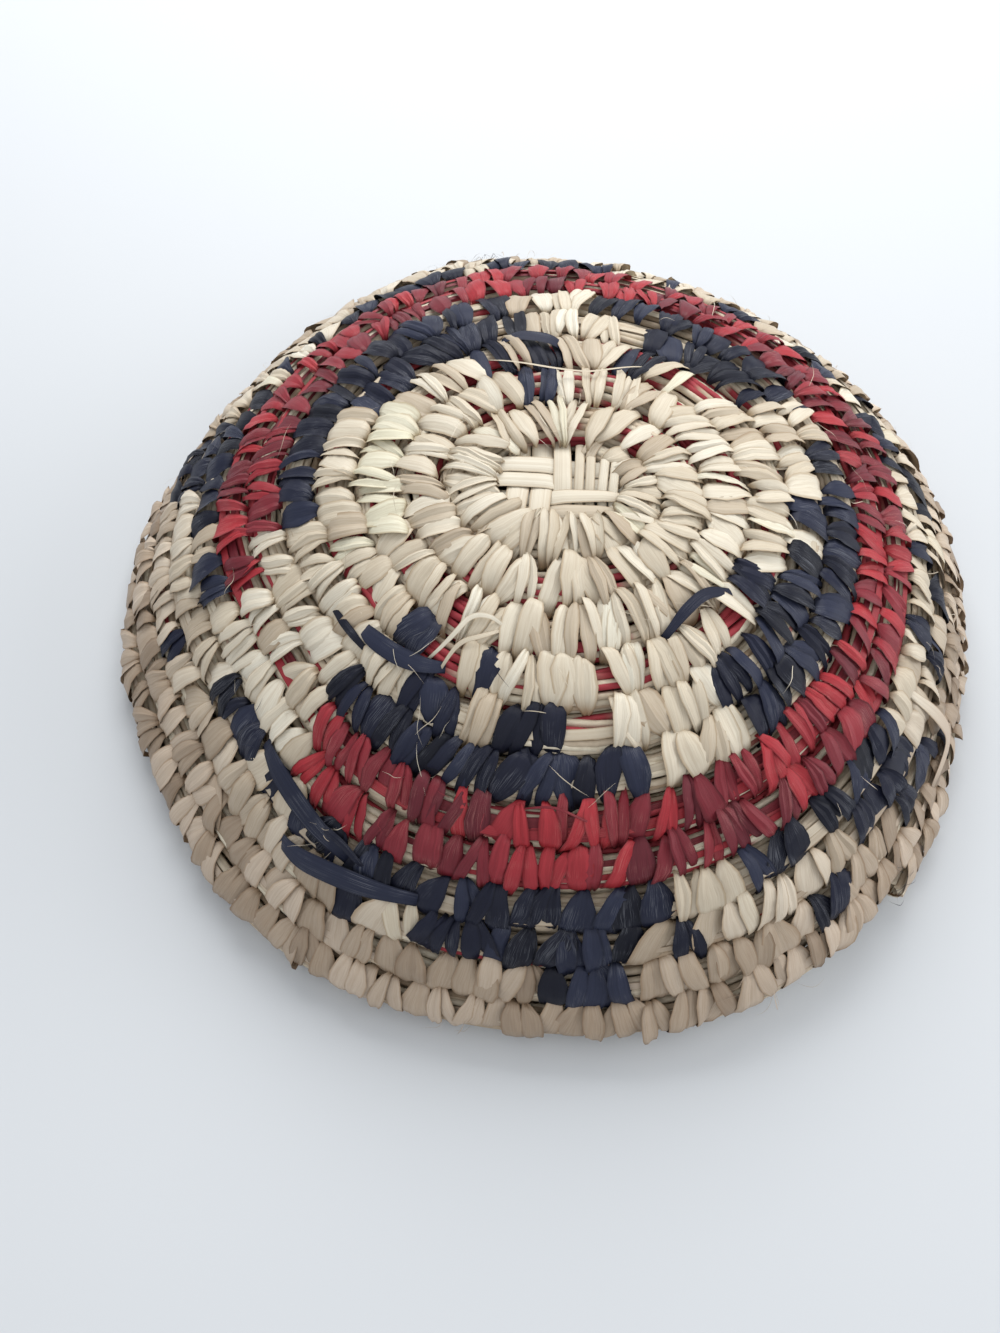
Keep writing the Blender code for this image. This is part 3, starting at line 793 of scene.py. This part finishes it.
# Places that have frayed most: a bearing in degrees, a count of rows, a colour and how many hairs
FRAYED_PLACES = (
    (236, 8.2, "natural", 5), (244, 5.0, "natural", 4), (104, 9.4, "navy", 16),
    (96, 8.6, "natural", 8), (262, 11.2, "natural", 5), (300, 11.2, "natural", 5),
    (322, 11.6, "navy", 7), (226, 3.9, "natural", 3),
)
TUCKED_LIFT = 0.4
LOOSE_TAPER = 0.4
LOOSE_SHADES = (0.2, 0.9)
# The part of a leaf's colouring that a loose strip shows, clear of the painted shade at its tip and
# between the rows
LOOSE_FROM, LOOSE_PART = 0.2, 0.2
RIBBON_LIFT = 0.0001
RIBBON_FALL = 0.0026
RIBBON_STEP = 0.02
RIBBON_SWING, RIBBON_SWINGS, RIBBON_JITTER = 0.05, 31.0, 0.03
RIBBON_TAPER = 0.5
BENT_ROUNDS = 3
NEXT_ARC, NEXT_BEARING = 0.001, 0.01
HAIRS = 110
FIRST_HAIR_TURN = 0.3
NATURAL_HAIRS = 0.5
HAIR_WIDTH = 0.09
HAIR_WIDTH_SPREAD = (0.6, 1.7)
HAIR_LENGTHS = (0.003, 0.010)
HAIR_BENDS, HAIR_BEND = 3, 0.5
HAIR_FOOT, HAIR_LIFTS = 0.0004, (0.0008, 0.0028)
HAIR_TAPER = 0.9
FRAYED_ROUND, FRAYED_ACROSS = 4, 0.4


def on_wall(bearing, rows, lift):
    """Point, and the direction out of the wall, at a bearing in degrees and a count of rows."""
    bearing, arc = math.radians(bearing), row_edge(rows)
    spots = wall(np.array([arc, arc + NEXT_ARC, arc]),
                 np.array([bearing, bearing, bearing + NEXT_BEARING]))
    out = np.cross(spots[1] - spots[0], spots[2] - spots[0])
    out /= np.linalg.norm(out) * (1 if out[2] > 0 else -1)
    return spots[0] + out * (CROWN_HEIGHT + lift), out


def rounded(stops):
    """The same line with its corners cut off."""
    stops = np.array(stops, dtype=float)
    for _ in range(BENT_ROUNDS):
        near = stops[:-1] * 0.75 + stops[1:] * 0.25
        far = stops[:-1] * 0.25 + stops[1:] * 0.75
        inner = np.stack([near, far], axis=1).reshape(-1, stops.shape[1])[1:-1]
        stops = np.concatenate([stops[:1], inner, stops[-1:]])
    return stops


def laid_strip(stops, width, taper):
    """Points of a flat strip along a line on the wall, ring by ring.

    Each ring's share of the strip's length and its share of the rows come with them.
    """
    line = rounded(stops)
    spots, outs = (np.array(values) for values in zip(*(on_wall(*stop) for stop in line)))
    ahead = np.gradient(spots, axis=0)
    sides = np.cross(outs, ahead)
    sides /= np.linalg.norm(sides, axis=1)[:, None]
    shares = np.linspace(0, 1, len(line))
    widths = width * (1 - taper * np.abs(2 * shares - 1) ** 3)
    points = [spot + side * place * reach / 2 + out * rise * reach
              for spot, side, out, reach in zip(spots, sides, outs, widths)
              for place, rise in zip(STRIP_SIDES, LEVEL)]
    return points, shares, line[:, 1] / END_TURN


def hair(bearing, rows):
    """A hair that starts in the stitches and wanders off over them: stops, a width and a taper."""
    heading, length = rng.uniform(0, 2 * math.pi), rng.uniform(*HAIR_LENGTHS)
    radius = row_edge(rows)
    stops = [(bearing, rows, HAIR_FOOT)]
    for _ in range(HAIR_BENDS):
        heading += rng.uniform(-HAIR_BEND, HAIR_BEND)
        bearing += math.degrees(length / HAIR_BENDS * math.cos(heading) / radius)
        rows = min(rows + length / HAIR_BENDS * math.sin(heading) / LAST_PITCH, END_TURN)
        stops.append((bearing, rows, rng.uniform(*HAIR_LIFTS)))
    return stops, HAIR_WIDTH / 1000 * rng.uniform(*HAIR_WIDTH_SPREAD), HAIR_TAPER


loose = {"natural": [], "navy": [], "red": []}
for colour, width, lift, stops in LOOSE_STRIPS:
    lifts = [TUCKED_LIFT] + [lift] * (len(stops) - 2) + [TUCKED_LIFT]
    stops = [(*stop, height / 1000) for stop, height in zip(stops, lifts)]
    loose[colour].append((stops, width / 1000, LOOSE_TAPER))
for colour, width, place, first_turn, last_turn in LAID_RIBBONS:
    turns = np.arange(first_turn, last_turn, RIBBON_STEP)
    places = place + RIBBON_SWING * np.sin(turns * RIBBON_SWINGS)
    places += rng.uniform(-RIBBON_JITTER, RIBBON_JITTER, len(turns))
    stops = [(math.degrees(bearing_of(turn)), turn + across,
              RIBBON_LIFT - RIBBON_FALL * (2 * across - 1) ** 2)
             for turn, across in zip(turns, places)]
    loose[colour].append((stops, width / 1000, RIBBON_TAPER))
for _ in range(HAIRS):
    rows = rng.uniform(FIRST_HAIR_TURN, END_TURN)
    colour = colour_at(rows, rng.random())
    if colour == "bare" or rng.random() < NATURAL_HAIRS:
        colour = "natural"
    loose[colour].append(hair(math.degrees(bearing_of(rows)), rows))
for bearing, rows, colour, count in FRAYED_PLACES:
    for _ in range(count):
        loose[colour].append(hair(bearing + rng.uniform(-FRAYED_ROUND, FRAYED_ROUND),
                                  rows + rng.uniform(-FRAYED_ACROSS, FRAYED_ACROSS)))
for colour, strips in loose.items():
    points, faces, along, shade, row = [], [], [], [], []
    for stops, width, taper in strips:
        strip_points, shares, row_shares = laid_strip(stops, width, taper)
        faces += strip_faces(len(shares), len(points))
        points += strip_points
        along += list(np.repeat(LOOSE_FROM + LOOSE_PART * shares, len(STRIP_SIDES)))
        row += list(np.repeat(row_shares, len(STRIP_SIDES)))
        shade += [rng.uniform(*LOOSE_SHADES)] * len(strip_points)
    mesh = mesh_with(f"{colour}_loose_ends", points, faces=faces, along=along, shade=shade, row=row,
                     across=np.tile(STRIP_SIDES, len(points) // len(STRIP_SIDES)))
    fold_lengthwise(mesh)
    mesh.materials.append(finishes[colour])
    piece = bpy.data.objects.new(f"{colour}_loose_ends", mesh)
    bpy.context.scene.collection.objects.link(piece)
    first_strip = next(node for node in record_nodes if node.startswith(f"stitching_{colour}"))
    seat(piece, f"{colour}_leaf", first_strip)

# The woven start. Nine flat undyed leaf strips cross in plain weave in the oval that the first turn
# leaves open: two at the back and two at the front run sideways, two at the left and three at the
# right run from back to front. Each is over on one side of the crossing, under on the other.
CROSSING = np.array([-0.0010, -0.0057])
WEAVE_RISE = 0.0022
WEAVE_HEIGHT = wall(np.array([0.0]), np.array([0.0]))[0, 2] + WEAVE_RISE
WEAVE_LAYER = 0.0005
WEAVE_STEP = 0.0014
WEAVE_RINGS = 19
WEAVE_SECTION = (0.0, 0.00018, 0.00024, 0.00018, 0.0, -0.0002)
WEAVE_SHADES = (0.15, 0.8)
# The part of a leaf's colouring that a woven strip takes, clear of the painted shade at its tip and
# between the rows
WEAVE_FROM, WEAVE_PART = 0.15, 0.3
# The ends dip under the stitches of the first turn, past this share of a strip's half length
END_DIP = 0.0016
FLAT_SHARE = 0.6
# How much of its half width a whole strip fills, and a ribbon of a split one
WHOLE_FILL, SPLIT_FILL = 0.48, 0.43
# Each strip: the way it runs, whether it is over on its first side, how many ribbons it has split
# into, then its low end, the crossing and its high end, each with a place across and a width in mm
WOVEN_STRIPS = {
    "start_strip_back_1": ("x", True, 1, (-15.5, 1.5, 3.2), (0.0, 1.6, 3.3), (15.0, 1.7, 3.2)),
    "start_strip_back_3": ("x", True, 1, (-14.5, 4.9, 3.2), (0.0, 5.1, 3.7), (14.5, 5.2, 3.6)),
    "start_strip_front_2": ("x", False, 1, (-15.0, -1.8, 3.3), (0.0, -1.7, 3.3), (15.5, -0.7, 1.9)),
    "start_strip_front_4": ("x", False, 1, (-14.0, -5.2, 3.4), (0.0, -5.0, 3.3), (14.5, -4.3, 2.4)),
    "start_strip_left_6": ("y", True, 1, (-12.0, -3.2, 3.8), (0.0, -2.4, 4.0), (11.5, -2.4, 4.0)),
    "start_strip_left_8": ("y", True, 1, (-11.5, -7.7, 4.0), (0.0, -6.6, 4.2), (11.0, -6.6, 4.2)),
    "start_strip_right_5": ("y", False, 1, (-11.0, 1.7, 3.6), (0.0, 1.4, 3.6), (11.5, 1.1, 3.2)),
    "start_strip_right_7": ("y", False, 2, (-10.5, 5.7, 4.0), (0.0, 5.3, 4.0), (11.0, 5.5, 4.0)),
    "start_strip_right_9": ("y", False, 2, (-9.5, 9.9, 4.0), (0.0, 9.5, 4.0), (10.5, 10.3, 3.8)),
}
for node, (axis, first_side_up, ribbons, *stops) in WOVEN_STRIPS.items():
    lengths, places, widths = np.array(stops).T / 1000
    fill = WHOLE_FILL if ribbons == 1 else SPLIT_FILL
    points, faces, across, along = [], [], [], []
    for ribbon in range(ribbons):
        faces += strip_faces(WEAVE_RINGS, len(points))
        for index in range(WEAVE_RINGS):
            share = index / (WEAVE_RINGS - 1)
            length = lengths[0] + (lengths[2] - lengths[0]) * share
            width = np.interp(length, lengths, widths) / ribbons
            place = np.interp(length, lengths, places) + width * (ribbon - (ribbons - 1) / 2)
            over = math.tanh(length / WEAVE_STEP) * (-1 if first_side_up else 1)
            dip = END_DIP * max(0.0, abs(2 * share - 1) - FLAT_SHARE) / (1 - FLAT_SHARE)
            for side, rise in zip(STRIP_SIDES, WEAVE_SECTION):
                flat = (length, place + side * width * fill)
                x, y = CROSSING + (flat if axis == "x" else flat[::-1])
                points.append((x, y, WEAVE_HEIGHT + over * WEAVE_LAYER + rise - dip))
                across.append(side)
                along.append(WEAVE_FROM + WEAVE_PART * share)
    if axis == "x":
        faces = [face[::-1] for face in faces]
    shade = rng.uniform(*WEAVE_SHADES)
    mesh = mesh_with(f"woven_{node}", points, faces=faces, across=across, along=along,
                     shade=[shade] * len(points), row=[0.0] * len(points))
    fold_lengthwise(mesh)
    mesh.materials.append(natural_finish)
    strip = bpy.data.objects.new(f"woven_{node}", mesh)
    bpy.context.scene.collection.objects.link(strip)
    seat(strip, "natural_leaf", node)

# The table. A plain pale top, flat and matt, that the basket lies on with its mouth down. It is
# painted a little lighter towards the front, painted light against the shade that the basket
# casts there by keeping the light from behind off it.
TABLE_HALF = 1.6
TABLE_ROUGHNESS = 0.6
TABLE_TONE = (0.585, 0.61, 0.635, 1.0)
# Painted light: the table's colour towards the front, lighter to lift the basket's shade there
TABLE_FRONT_PAINTED_LIGHT = (0.625, 0.65, 0.675, 1.0)
PAINTED_LIGHT_FROM, PAINTED_LIGHT_TO = -0.02, -0.13
table_mesh = mesh_with("table_top", [(-TABLE_HALF, -TABLE_HALF, 0), (TABLE_HALF, -TABLE_HALF, 0),
                                     (TABLE_HALF, TABLE_HALF, 0), (-TABLE_HALF, TABLE_HALF, 0)],
                       faces=[(0, 1, 2, 3)])
table = bpy.data.objects.new("table_top", table_mesh)
bpy.context.scene.collection.objects.link(table)
table_finish, shader, bench = new_material("white_table", TABLE_ROUGHNESS)
table_y = bench.add("ShaderNodeSeparateXYZ", {}, {0: bench.object_place()}, "Y")
# Painted light: the table turns lighter towards the front, where the basket shades it
feed(bench, shader, "Base Color",
     bench.blend(bench.step(table_y, PAINTED_LIGHT_FROM, PAINTED_LIGHT_TO), TABLE_TONE, TABLE_FRONT_PAINTED_LIGHT))
table_mesh.materials.append(table_finish)

# The light. A pale room and three soft lamps: a window behind the basket, one at the right and a
# weak one above the front.
ROOM_TONE = (0.95, 0.97, 1.0, 1.0)
ROOM_STRENGTH = 0.59
world = bpy.data.worlds.new("studio")
bpy.context.scene.world = world
world.use_nodes = True
background = world.node_tree.nodes["Background"]
background.inputs["Color"].default_value = ROOM_TONE
background.inputs["Strength"].default_value = ROOM_STRENGTH


def lamp(name, place, target, size, power):
    """A large soft lamp that looks at a point."""
    light = bpy.data.lights.new(name, "AREA")
    light.shape = "SQUARE"
    light.size = size
    light.energy = power
    holder = bpy.data.objects.new(name, light)
    holder.location = place
    direction = np.array(target) - np.array(place)
    holder.rotation_euler = (
        math.atan2(math.hypot(direction[0], direction[1]), -direction[2]), 0.0,
        math.atan2(direction[1], direction[0]) - math.pi / 2)
    bpy.context.scene.collection.objects.link(holder)


lamp("window", (-0.03, 0.50, 0.46), (-0.03, 0.38, 0), 0.5, 4.2)
lamp("room", (0.75, 0.08, 0.34), (0, 0, 0), 0.6, 3.1)
lamp("ceiling", (-0.10, -0.50, 0.60), (0, -0.2, 0), 0.8, 1.1)

# The camera. It looks down at the front of the basket from close by, as in the photograph. Its
# lens, place and turn were fitted to the rows of the coil and to the basket's outline.
LENS = 36.562
CAMERA_PLACE = (-0.009219, -0.147331, 0.256536)
CAMERA_TURN = (27.4637, -1.3643, 2.6227)
camera_data = bpy.data.cameras.new("photograph")
camera_data.sensor_width = 36.0
camera_data.sensor_fit = "AUTO"
camera_data.lens = LENS
camera = bpy.data.objects.new("photograph", camera_data)
camera.location = CAMERA_PLACE
camera.rotation_euler = [math.radians(angle) for angle in CAMERA_TURN]
bpy.context.scene.collection.objects.link(camera)
bpy.context.scene.camera = camera

bpy.context.scene.view_settings.view_transform = "Standard"
